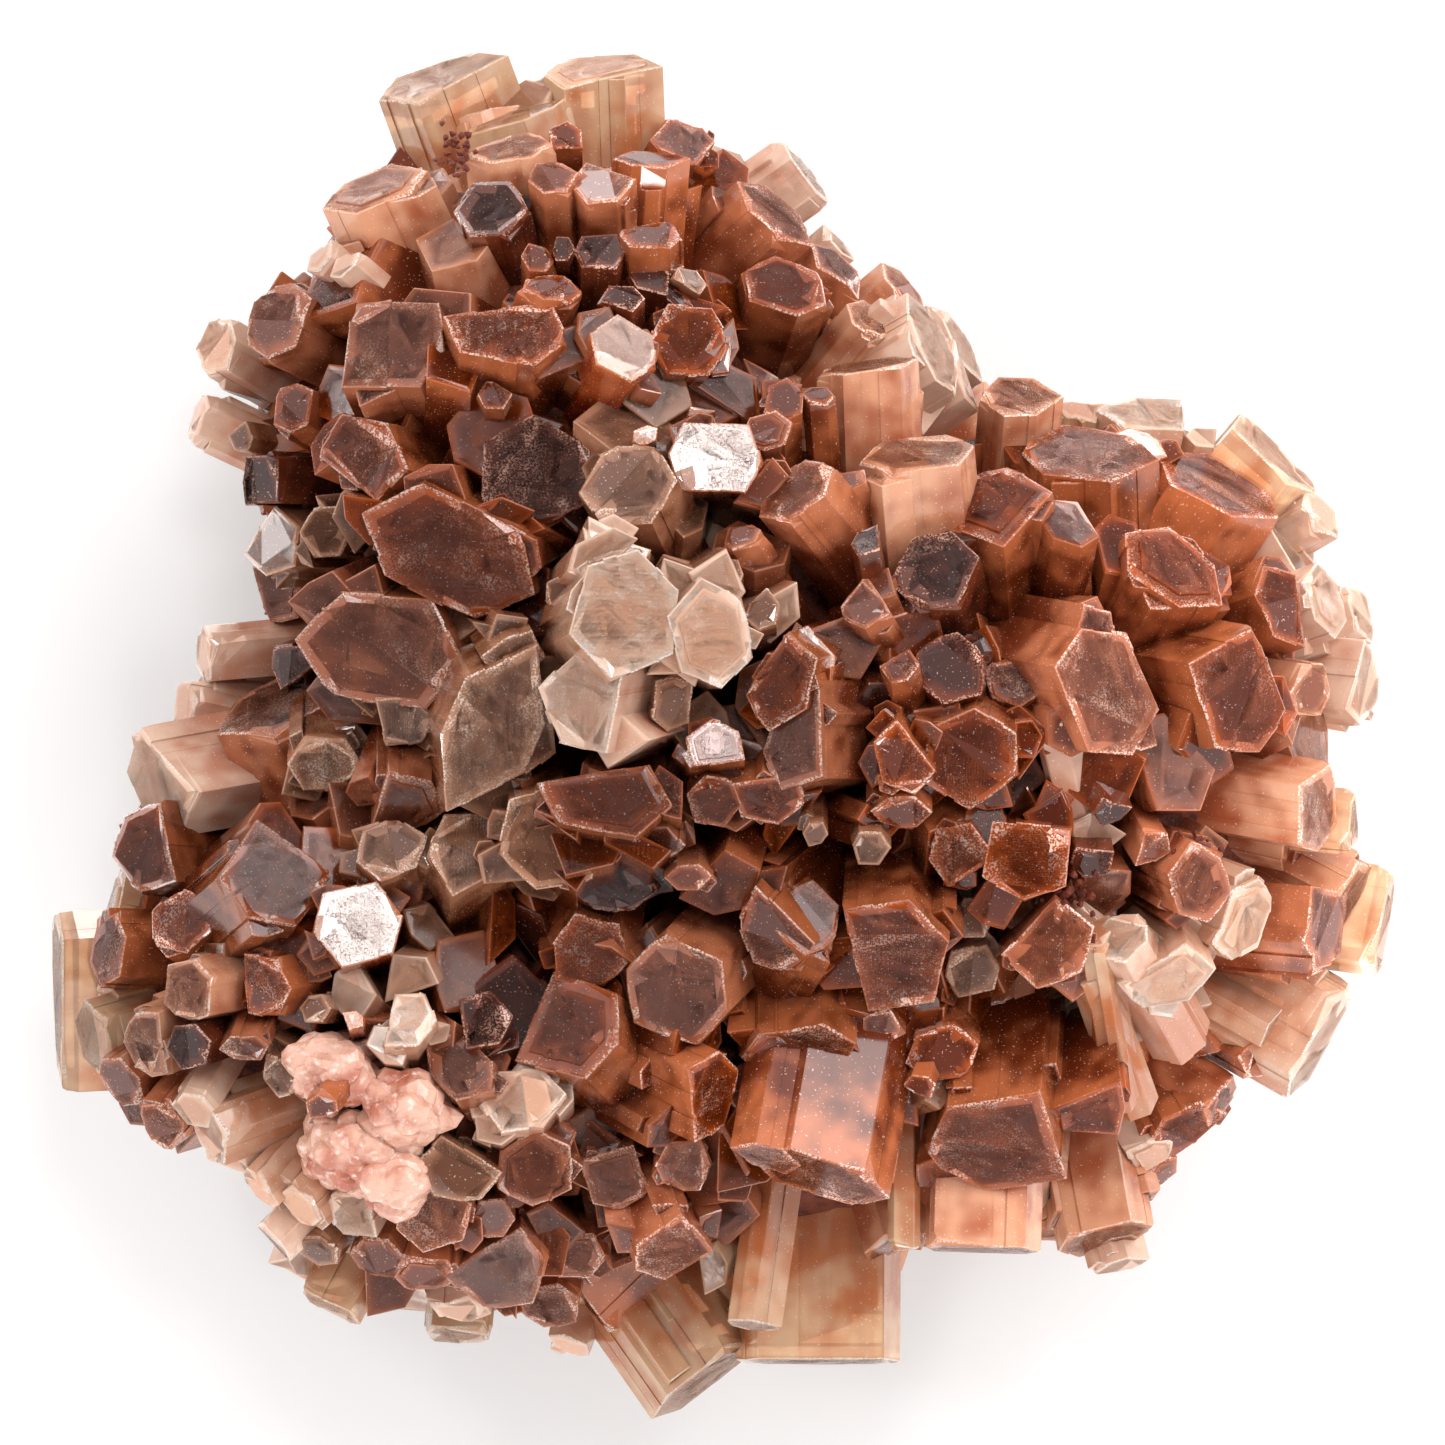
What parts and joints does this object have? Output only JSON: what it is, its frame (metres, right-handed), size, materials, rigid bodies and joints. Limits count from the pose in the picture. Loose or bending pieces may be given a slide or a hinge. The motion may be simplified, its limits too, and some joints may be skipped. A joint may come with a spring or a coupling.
{
  "type": "aragonite cluster",
  "caption": "Rounded mineral cluster of intergrown six-sided aragonite prisms with flat ends, radiating from several centres, for display lying on its underside.",
  "frame": {"origin": "centre of the bounding box, on the surface that the cluster lies on", "axes": "+X to the right and +Y up across the cluster's best side, the cluster's greatest extent along Y; +Z out of the best side, away from the surface it lies on"},
  "size_m": [0.0812, 0.0824, 0.0521],
  "materials": {
    "red_brown_aragonite": "translucent, glassy",
    "amber_aragonite": "see-through, glassy",
    "grey_aragonite": "see-through, glassy",
    "pale_aragonite": "translucent, sugary",
    "clay": "matte, crumbly"
  },
  "bodies": {
    "root": {"aragonite_cluster": "red_brown_aragonite"}
  },
  "joints": []
}
